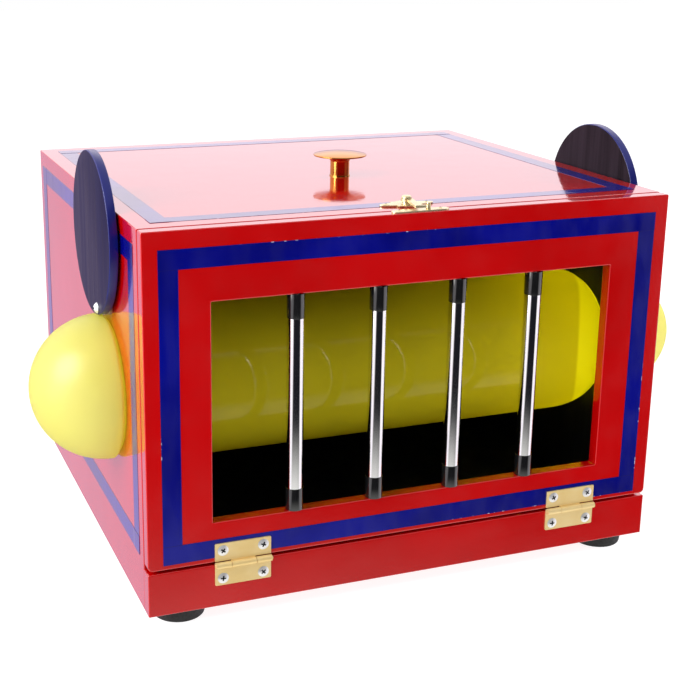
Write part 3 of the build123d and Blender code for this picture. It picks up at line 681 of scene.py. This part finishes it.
def roundedLoop(low, high, radii, steps):
    # points round a rectangle, from the lower left corner on; radii are those of the four corners
    corners = ((low[0], low[1], 180), (high[0], low[1], 270), (high[0], high[1], 0), (low[0], high[1], 90))
    points = []
    for (x, y, startAngle), radius in zip(corners, radii):
        centreX = x + radius if startAngle in (180, 90) else x - radius
        centreY = y + radius if startAngle in (180, 270) else y - radius
        for step in range(steps + 1):
            angle = math.radians(startAngle + 90 * step / steps)
            points.append((centreX + radius * math.cos(angle), centreY + radius * math.sin(angle)))
    return points


def doorFrameMesh():
    look = doorLook
    windowLow = Vector((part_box("door_left_stile")[1].x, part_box("door_bottom_rail")[1].z))
    windowHigh = Vector((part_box("door_right_stile")[0].x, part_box("door_top_rail")[0].z))
    lower, upper, window = look["lowerCornerRadius"], look["upperCornerRadius"], look["windowCornerRadius"]
    loops = (
        roundedLoop((doorLow.x, doorLow.z), (doorHigh.x, doorHigh.z), (lower, lower, upper, upper),
                    look["cornerSteps"]),
        roundedLoop(windowLow, windowHigh, (window,) * 4, look["cornerSteps"]),
    )
    curve = bpy.data.curves.new("doorOutline", "CURVE")
    curve.dimensions = "2D"
    curve.fill_mode = "BOTH"
    for points in loops:
        spline = curve.splines.new("POLY")
        spline.points.add(len(points) - 1)
        for target, (x, y) in zip(spline.points, points):
            target.co = (x, y, 0, 1)
        spline.use_cyclic_u = True
    thickness = doorHigh.y - doorLow.y
    curve.bevel_depth = look["edgeRadius"]
    curve.bevel_resolution = look["edgeSegments"]
    curve.offset = -look["edgeRadius"]
    curve.extrude = thickness / 2 - look["edgeRadius"]
    holder = bpy.data.objects.new("doorOutline", curve)
    bpy.context.scene.collection.objects.link(holder)
    depsgraph = bpy.context.evaluated_depsgraph_get()
    mesh = bpy.data.meshes.new_from_object(holder.evaluated_get(depsgraph))
    bpy.data.objects.remove(holder)
    shape = bmesh.new()
    shape.from_mesh(mesh)
    bmesh.ops.remove_doubles(shape, verts=shape.verts, dist=weldDistance)
    shape.transform(facing(Vector((0, (doorLow.y + doorHigh.y) / 2, 0)), (0, -1, 0)))
    bmesh.ops.recalc_face_normals(shape, faces=shape.faces)
    return meshOf(shape, "doorFrame", lambda normal, centre: 1 if normal.y > 0.9 else 0)


doorBoards = ["door_top_rail", "door_bottom_rail", "door_left_stile", "door_right_stile"]
weighNormals(addPiece("door_frame_lacquered", doorFrameMesh(), "door",
                      [redLacquer, insideBlack], doorBoards))
print("door frame made")


# bars and their sleeves

barLow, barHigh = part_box("bar_1")
barY = (barLow.y + barHigh.y) / 2
barLook = {"count": 4, "wall": 1.2 * mm, "sleeveWall": 0.2 * mm, "lip": 0.12 * mm}
barPitch = (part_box("bar_4")[0].x - barLow.x) / (barLook["count"] - 1)


def tubeRow(radius, wall, low, high, finish):
    mesh = meshFromTree(tubeRowTree, {
        "Radius": radius, "Wall": wall, "Height": high - low, "Lip": barLook["lip"],
        "Count": barLook["count"], "Pitch": barPitch, "Finish": finish,
    })
    mesh.transform(Matrix.Translation((0, barY, (low + high) / 2)))
    return mesh


mesh = tubeRow((barHigh.x - barLow.x) / 2, barLook["wall"], barLow.z, barHigh.z, chrome)
addPiece("chrome_bars", mesh, "door", None, ["bar_1", "bar_2", "bar_3", "bar_4"])
for end in ("top", "bottom"):
    low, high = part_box(f"bar_{end}_ferrules")
    mesh = tubeRow((high.y - low.y) / 2, barLook["sleeveWall"], low.z, high.z, glossBlack)
    addPiece(end + "_sleeves", mesh, "door", None, [f"bar_{end}_ferrules"])
nodes["bar_tie_rods"].data.materials.clear()
nodes["bar_tie_rods"].data.materials.append(zincSteel)
print("bars made")


# screws

def screwSpots(node, count):
    # the low and high corners of each screw in a node, found from its loose parts
    shape = bmesh.new()
    shape.from_mesh(nodes[node].data)
    bmesh.ops.remove_doubles(shape, verts=shape.verts, dist=weldDistance)
    shape.verts.ensure_lookup_table()
    unseen = set(range(len(shape.verts)))
    spots = []
    while unseen:
        stack = [unseen.pop()]
        low = shape.verts[stack[0]].co.copy()
        high = low.copy()
        while stack:
            vertex = shape.verts[stack.pop()]
            low = Vector(map(min, low, vertex.co))
            high = Vector(map(max, high, vertex.co))
            for edge in vertex.link_edges:
                other = edge.other_vert(vertex).index
                if other in unseen:
                    unseen.discard(other)
                    stack.append(other)
        spots.append((low, high))
    shape.free()
    assert len(spots) == count, (node, len(spots))
    return sorted(spots, key=lambda s: (round(s[0].x, 4), round(s[0].y, 4)))


screwKinds = {
    # node: how many, body, which way the heads face, dome, finish, seed
    "hinge_door_screws": (4, "door", (0, -1, 0), 0.7 * mm, zincSteel, 3),
    "hinge_base_screws": (4, "case", (0, -1, 0), 0.7 * mm, zincSteel, 8),
    "keeper_screws": (2, "door", (0, 0, 1), 0.6 * mm, paleBrass, 5),
    "catch_screws": (2, "case", (0, 0, 1), 0.6 * mm, paleBrass, 6),
    "foot_screws": (4, "case", (0, 0, -1), 1.4 * mm, zincSteel, 12),
    "knob_screw": (1, "case", (0, 0, -1), 1.6 * mm, zincSteel, 2),
    "left_cover_screw": (1, "case", (-1, 0, 0), 2.5 * mm, zincSteel, 21),
    "right_cover_screw": (1, "case", (1, 0, 0), 2.5 * mm, zincSteel, 4),
}

for node, (count, body, way, dome, finish, seed) in screwKinds.items():
    spots = screwSpots(node, count)
    low, high = spots[0]
    way = Vector(way)
    crossing = Vector((1, 0, 0)) if abs(way.x) < 0.5 else Vector((0, 1, 0))
    headRadius = (high - low).dot(crossing) / 2
    length = abs((high - low).dot(way))
    tip = max(low.dot(way), high.dot(way))
    matrix = facing(Vector(), way)
    flat = matrix.inverted()
    points = []
    for spotLow, spotHigh in spots:
        local = flat @ middleOf(spotLow, spotHigh)
        points.append((local.x, local.y, tip - dome))
    mesh = meshFromTree(screwTree, {
        "Head Radius": headRadius, "Dome": dome, "Recess Length": headRadius * screwLook["recessLength"],
        "Recess Width": headRadius * screwLook["recessWidth"],
        "Recess Depth": dome + headRadius * screwLook["recessDepth"],
        "Shank Radius": headRadius * screwLook["shankRadius"],
        "Shank Length": length - dome - headRadius * screwLook["rimHeight"],
        "Seed": seed, "Finish": finish, "Recess Shade Paint": recessPaintedShade,
    }, points)
    mesh.transform(matrix)
    slotName = "brass" if finish == paleBrass else "screw_steel"
    addPiece(node + "_cross_head", mesh, body, None, [node])
print("screws made")


# blue tape

tapes = {
    "door_tape": {"way": (0, -1, 0), "body": "door", "seed": 1},
    "left_side_tape": {"way": (-1, 0, 0), "body": "case", "seed": 2},
    "right_side_tape": {"way": (1, 0, 0), "body": "case", "seed": 3},
    "back_tape": {"way": (0, 1, 0), "body": "case", "seed": 4},
    "top_tape": {"way": (0, 0, 1), "body": "case", "seed": 5},
}
tapeSizes = {"width": 12.7 * mm, "wander": 0.7 * mm}

for node, kind in tapes.items():
    low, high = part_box(node)
    way = Vector(kind["way"])
    matrix = facing(middleOf(low, high), way)
    extent = matrix.to_3x3().inverted() @ (high - low)
    thickness = abs(extent.z)
    mesh = meshFromTree(tapeTree, {
        "Width": abs(extent.x), "Height": abs(extent.y), "Tape Width": tapeSizes["width"],
        "Thickness": thickness, "Wander": tapeSizes["wander"], "Seed": kind["seed"], "Finish": blueTape,
    })
    mesh.transform(matrix @ Matrix.Translation((0, 0, -thickness / 2)))
    addPiece(node + "_strips", mesh, kind["body"], None, [node])
print("tape laid")


# hinges, catch, feet, covers: the designed shapes, the hinge leaves, catch and keeper with softened edges

softened = {
    # node: body, slot, finish, edge radius
    "left_hinge_door_leaf": ("door", "brass", brass, 0.14 * mm),
    "right_hinge_door_leaf": ("door", "brass", brass, 0.14 * mm),
    "left_hinge_base_leaf": ("case", "brass", brass, 0.14 * mm),
    "right_hinge_base_leaf": ("case", "brass", brass, 0.14 * mm),
    "catch_plate": ("case", "brass", paleBrass, 0.18 * mm),
    "catch_hook": ("catch", "brass", paleBrass, 0.25 * mm),
    "keeper_plate": ("door", "brass", paleBrass, 0.20 * mm),
}

for node, (body, slotName, finish, radius) in softened.items():
    shape = cadCopy(node)
    roundEdges(shape, radius, 2, lambda middle: True)
    weighNormals(addPiece(node + "_soft", meshOf(shape, node), body, [finish], [node]))

kept = {
    "left_hinge_pin": ("brass", brass),
    "right_hinge_pin": ("brass", brass),
    "catch_rivet": ("brass", paleBrass),
    "keeper_post": ("brass", paleBrass),
    "rubber_feet": ("foot_rubber", footRubber),
    "left_cover_washer": ("nylon", nylonWhite),
    "right_cover_washer": ("nylon", nylonWhite),
    "knob_washer": ("screw_steel", zincSteel),
}

for node, (slotName, finish) in kept.items():
    nodes[node].data.materials.clear()
    nodes[node].data.materials.append(finish)


def coverFinish(normal, centre):
    # 0 outside, 1 rim, 2 inside
    if abs(normal.x) < 0.93:
        return 1
    return 0 if normal.x * centre.x > 0 else 2


for side in ("left", "right"):
    disc = side + "_cover_disc"
    mesh = meshOf(cadCopy(disc), side + "_cover", coverFinish)
    paints = [coverPaint, coverEdgeBlue, coverBack]
    addPiece(side + "_cover_painted", mesh, side + "_cover", paints, [disc], smoothAngle=50)
print("hardware made")


# round pieces turned from a profile

def turned(name, profile, steps, matrix, closed=False):
    # profile points are (distance from the axis, height); a point on the axis becomes one pole
    shape = bmesh.new()
    rings = []
    for radius, height in profile:
        if radius < weldDistance:
            rings.append([shape.verts.new((0, 0, height))])
        else:
            rings.append([
                shape.verts.new((radius * math.cos(2 * math.pi * s / steps),
                                 radius * math.sin(2 * math.pi * s / steps), height))
                for s in range(steps)
            ])
    pairs = list(zip(rings, rings[1:]))
    if closed:
        pairs.append((rings[-1], rings[0]))
    for lower, upper in pairs:
        for s in range(steps):
            following = (s + 1) % steps
            if len(lower) == 1 and len(upper) == 1:
                continue
            if len(lower) == 1:
                shape.faces.new((lower[0], upper[following], upper[s]))
            elif len(upper) == 1:
                shape.faces.new((lower[s], lower[following], upper[0]))
            else:
                shape.faces.new((lower[s], lower[following], upper[following], upper[s]))
    shape.transform(matrix)
    bmesh.ops.recalc_face_normals(shape, faces=shape.faces)
    return meshOf(shape, name)


def arcPoints(centre, radius, start, stop, steps):
    return [
        (centre[0] + radius * math.cos(math.radians(start + (stop - start) * s / steps)),
         centre[1] + radius * math.sin(math.radians(start + (stop - start) * s / steps)))
        for s in range(steps + 1)
    ]


knobLook = {
    "stemRadius": 7.0 * mm,
    "rimHeight": 14.8 * mm,
    "rimThickness": 1.0 * mm,
    "flareHeight": 4.6 * mm,
    "flarePower": 1.15,  # above 1 hollows the flare under the head
    "flareSteps": 14,
    "edgeRadius": 0.35 * mm,
    "crownSteps": 16,
    "footBead": 0.5 * mm,
    "steps": 112,
}


def knobMesh():
    look = knobLook
    low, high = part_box("knob")
    headRadius = (high.x - low.x) / 2
    height = high.z - low.z
    stem, rim = look["stemRadius"], look["rimHeight"]
    profile = [(0.0, 0.0), (stem + look["footBead"], 0.0)]
    profile += arcPoints((stem, look["footBead"]), look["footBead"], 0, 90, 4)[1:]
    flareStart = rim - look["flareHeight"]
    for s in range(look["flareSteps"] + 1):
        angle = math.pi / 2 * s / look["flareSteps"]
        profile.append((stem + (headRadius - stem) * (1 - math.cos(angle)) ** look["flarePower"],
                        flareStart + look["flareHeight"] * math.sin(angle)))
    edge = look["edgeRadius"]
    top = rim + look["rimThickness"]
    profile[-1] = (headRadius - edge, rim)
    profile += arcPoints((headRadius - edge, rim + edge), edge, -90, 0, 4)[1:]
    profile += arcPoints((headRadius - edge, top - edge), edge, 0, 80, 4)
    rise = height - top
    crownRadius = (headRadius**2 + rise**2) / (2 * rise)
    for s in range(1, look["crownSteps"] + 1):
        radius = (headRadius - edge) * (1 - s / look["crownSteps"])
        drop = crownRadius - math.sqrt(crownRadius**2 - radius**2)
        profile.append((radius, height - drop))
    centre = middleOf(low, high)
    return turned("knob", profile, look["steps"], Matrix.Translation((centre.x, centre.y, low.z)))


addPiece("knob_turned", knobMesh(), "case", [polishedBrass], ["knob"], smoothAngle=40)
print("knob turned")


# the balloon: a thin skin through both side holes, in three lengths

balloonLook = {
    "skin": 0.3 * mm,
    "neckRadius": 44.65 * mm,  # where the skin passes through a side hole
    "panelGap": 0.35 * mm,
    "shoulder": 29.0 * mm,  # how far from the panel the skin is at its full width
    "shoulderBend": 0.93,  # nearer 1 turns the shoulder in more squarely
    "shoulderSteps": 18,
    "bulgeRadius": 49.2 * mm,
    "swell": 4.0 * mm,  # the length over which an end widens outside its hole
    "swellSteps": 12,
    "capSteps": 24,
    "steps": 128,
    "leftKeep": 0.024,  # the share of its length that an end keeps under its closed cover
    "rightKeep": 0.019,
}
balloonRadius = (balloonHigh.z - balloonLow.z) / 2
alongX = Matrix.Translation((0, balloonAxis.y, balloonAxis.z)) @ Matrix.Rotation(math.pi / 2, 4, "Y")


def middleOutline(inset):
    # from the left panel's outer face to the right one's
    look = balloonLook
    neck = look["neckRadius"] - inset
    full = balloonRadius - inset
    reach = innerX - look["panelGap"] - inset
    bend = look["shoulderBend"]
    side = []
    for s in range(look["shoulderSteps"] + 1):
        share = 1 - s / look["shoulderSteps"]
        drop = (full - neck) * (1 - math.sqrt(1 - (bend * share) ** 2)) / (1 - math.sqrt(1 - bend**2))
        side.append((full - drop, -reach + look["shoulder"] * (1 - share)))
    left = [(neck, -outX)] + side
    return left + [(radius, -place) for radius, place in reversed(left)]


def endOutline(length, inset):
    # from the panel's outer face out to the tip
    look = balloonLook
    neck = look["neckRadius"] - inset
    bulge = look["bulgeRadius"] - inset
    swell = look["swell"]
    points = []
    for s in range(look["swellSteps"] + 1):
        share = s / look["swellSteps"]
        points.append((neck + (bulge - neck) * math.sin(share * math.pi / 2), outX + swell * share))
    cap = length - swell - inset
    for s in range(1, look["capSteps"] + 1):
        angle = math.pi / 2 * s / look["capSteps"]
        points.append((bulge * math.cos(angle), outX + swell + cap * math.sin(angle)))
    points[-1] = (0.0, points[-1][1])
    return points


skin = balloonLook["skin"]
outline = middleOutline(0.0) + list(reversed(middleOutline(skin)))
mesh = turned("balloon_middle", outline, balloonLook["steps"], alongX, closed=True)
addPiece("balloon_middle", mesh, "case", [latexYellow], ["balloon"], smoothAngle=60)

ends = {
    "left": {"length": -balloonLow.x - outX, "mirror": -1, "keep": balloonLook["leftKeep"]},
    "right": {"length": balloonHigh.x - outX, "mirror": 1, "keep": balloonLook["rightKeep"]},
}
for side, end in ends.items():
    outline = endOutline(end["length"], 0.0) + list(reversed(endOutline(end["length"], skin)))
    matrix = alongX if end["mirror"] > 0 else Matrix.Diagonal((-1, 1, 1, 1)) @ alongX
    mesh = turned(side + "_balloon_end", outline, balloonLook["steps"], matrix, closed=True)
    piece = addPiece(side + "_balloon_end", mesh, "case", [latexPaintedBright], ["balloon"], smoothAngle=60)
    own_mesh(piece)
print("balloon blown")


# studio: pale floor, white surroundings, soft lights and the camera

studio = {
    "floorSize": 14.0,
    "floorColor": rgb(0.36, 0.36, 0.365),
    "floorGlow": 0.88,
    "ambient": 0.45,  # the even light that matt surfaces get from all round
    "frontDark": rgb(0.012, 0.012, 0.016),  # this and the rest are only seen in reflections
    "sideCard": rgb(1.15, 1.10, 1.15),
    "backLow": rgb(0.62, 0.50, 0.66),
    "backHigh": rgb(1.20, 1.08, 1.16),
    "backUpper": rgb(1.64, 1.54, 1.60),
    "overhead": rgb(0.9, 0.9, 0.92),
    "frontAbove": rgb(1.3, 1.27, 1.3),
    "frontBelow": rgb(1.1, 1.1, 1.05),
    "leftWindow": rgb(4.5, 4.4, 4.2),
}

floorZ = cadLow.z
half = studio["floorSize"] / 2
floorMesh = bpy.data.meshes.new("studioFloor")
corners = [(x * half, y * half, floorZ) for x, y in ((-1, -1), (1, -1), (1, 1), (-1, 1))]
floorMesh.from_pydata(corners, [], [(0, 1, 2, 3)])
floor = bpy.data.objects.new("studioFloor", floorMesh)
bpy.context.scene.collection.objects.link(floor)
floorPaint = newFinish("floorPaint", {
    "Base Color": studio["floorColor"], "Roughness": 0.9, "Specular IOR Level": 0.0,
    "Emission Color": rgb(1, 1, 1), "Emission Strength": studio["floorGlow"],
})[0]
floorMesh.materials.append(floorPaint)
floor.visible_glossy = False


def makeSurroundings():
    world = bpy.data.worlds.new("studioAir")
    bpy.context.scene.world = world
    world.use_nodes = True
    tree = world.node_tree
    direction = addNode(tree, "ShaderNodeTexCoord").outputs["Generated"]
    x, y, z = addNode(tree, "ShaderNodeSeparateXYZ", {0: direction}).outputs[:3]
    color = studio["frontDark"]
    color = blendColor(tree, ramp(tree, z, 0.58, 0.80), color, studio["frontAbove"])
    below = ramp(tree, calc(tree, "MULTIPLY", z, -1.0), 0.38, 0.62)
    color = blendColor(tree, below, color, studio["frontBelow"])
    asLow = ramp(tree, z, 0.0, 0.12, 1.0, 0.2)
    atLeft = calc(tree, "MULTIPLY", ramp(tree, calc(tree, "MULTIPLY", x, -1.0), 0.68, 0.84), asLow)
    atRight = calc(tree, "MULTIPLY", ramp(tree, x, 0.56, 0.70), asLow)
    color = blendColor(tree, calc(tree, "ADD", atLeft, atRight), color, studio["sideCard"])
    windowWidth = ramp(tree, calc(tree, "MULTIPLY", x, -1.0), 0.90, 0.95)
    window = calc(tree, "MULTIPLY", windowWidth, ramp(tree, calc(tree, "ABSOLUTE", z), 0.08, 0.20, 1.0, 0.0))
    color = blendColor(tree, window, color, studio["leftWindow"])
    behind = ramp(tree, y, 0.05, 0.45)
    color = blendColor(tree, behind, color, studio["backLow"])
    high = calc(tree, "MULTIPLY", behind, ramp(tree, z, 0.0, 0.12))
    backdrop = blendColor(tree, ramp(tree, z, 0.16, 0.34), studio["backHigh"], studio["backUpper"])
    color = blendColor(tree, high, color, backdrop)
    color = blendColor(tree, ramp(tree, z, 0.55, 0.85), color, studio["overhead"])
    path = addNode(tree, "ShaderNodeLightPath").outputs
    ambient = studio["ambient"]
    color = blendColor(tree, path["Is Diffuse Ray"], color, rgb(ambient, ambient, ambient * 1.02))
    color = blendColor(tree, path["Is Camera Ray"], color, rgb(1, 1, 1))
    tree.links.new(color, tree.nodes["Background"].inputs["Color"])


makeSurroundings()

lamps = {
    # name: place, aimed at, size, watts
    "keyFromLeft": ((-2.0, -0.3, 1.3), (0, 0, 0.1), 1.6, 60.0),
    "fillFromFront": ((0.7, -2.0, 0.9), (0, 0, 0.12), 1.4, 3.0),
    "lightFromRight": ((1.8, 0.15, 0.6), (0.2, 0, 0.12), 1.0, 36.0),
    "glowThroughRightHole": ((0.188, -0.0695, 0.127), (0, -0.0695, 0.127), 0.07, 0.10),
}
for name, (place, target, size, watts) in lamps.items():
    light = bpy.data.lights.new(name, "AREA")
    light.shape = "DISK"
    light.size = size
    light.energy = watts
    lamp = bpy.data.objects.new(name, light)
    lamp.location = place
    lamp.rotation_euler = (Vector(place) - Vector(target)).to_track_quat("Z", "Y").to_euler()
    lamp.visible_camera = False
    lamp.visible_glossy = name == "keyFromLeft"
    bpy.context.scene.collection.objects.link(lamp)

cameraLook = {
    "place": (-0.3670, -0.8875, 0.4184),
    "azimuth": -20.43,
    "elevation": 15.40,
    "roll": 0.354,
    "lens": 66.87,
    "shiftX": 0.0987,
    "shiftY": -0.0777,
}
azimuth = math.radians(cameraLook["azimuth"])
elevation = math.radians(cameraLook["elevation"])
roll = math.radians(cameraLook["roll"])
back = Vector((math.sin(azimuth) * math.cos(elevation), -math.cos(azimuth) * math.cos(elevation),
               math.sin(elevation)))
level = Vector((math.cos(azimuth), math.sin(azimuth), 0))
upward = back.cross(level)
right = level * math.cos(roll) + upward * math.sin(roll)
camera = bpy.data.objects.new("camera", bpy.data.cameras.new("camera"))
turn = Matrix((right, back.cross(right), back)).transposed()
camera.matrix_world = Matrix.Translation(cameraLook["place"]) @ turn.to_4x4()
camera.data.sensor_width = 36.0
camera.data.lens = cameraLook["lens"]
camera.data.shift_x = cameraLook["shiftX"]
camera.data.shift_y = cameraLook["shiftY"]
camera.data.clip_start = 0.01
bpy.context.scene.collection.objects.link(camera)
bpy.context.scene.camera = camera
bpy.context.scene.view_settings.view_transform = "Standard"
print("studio set")
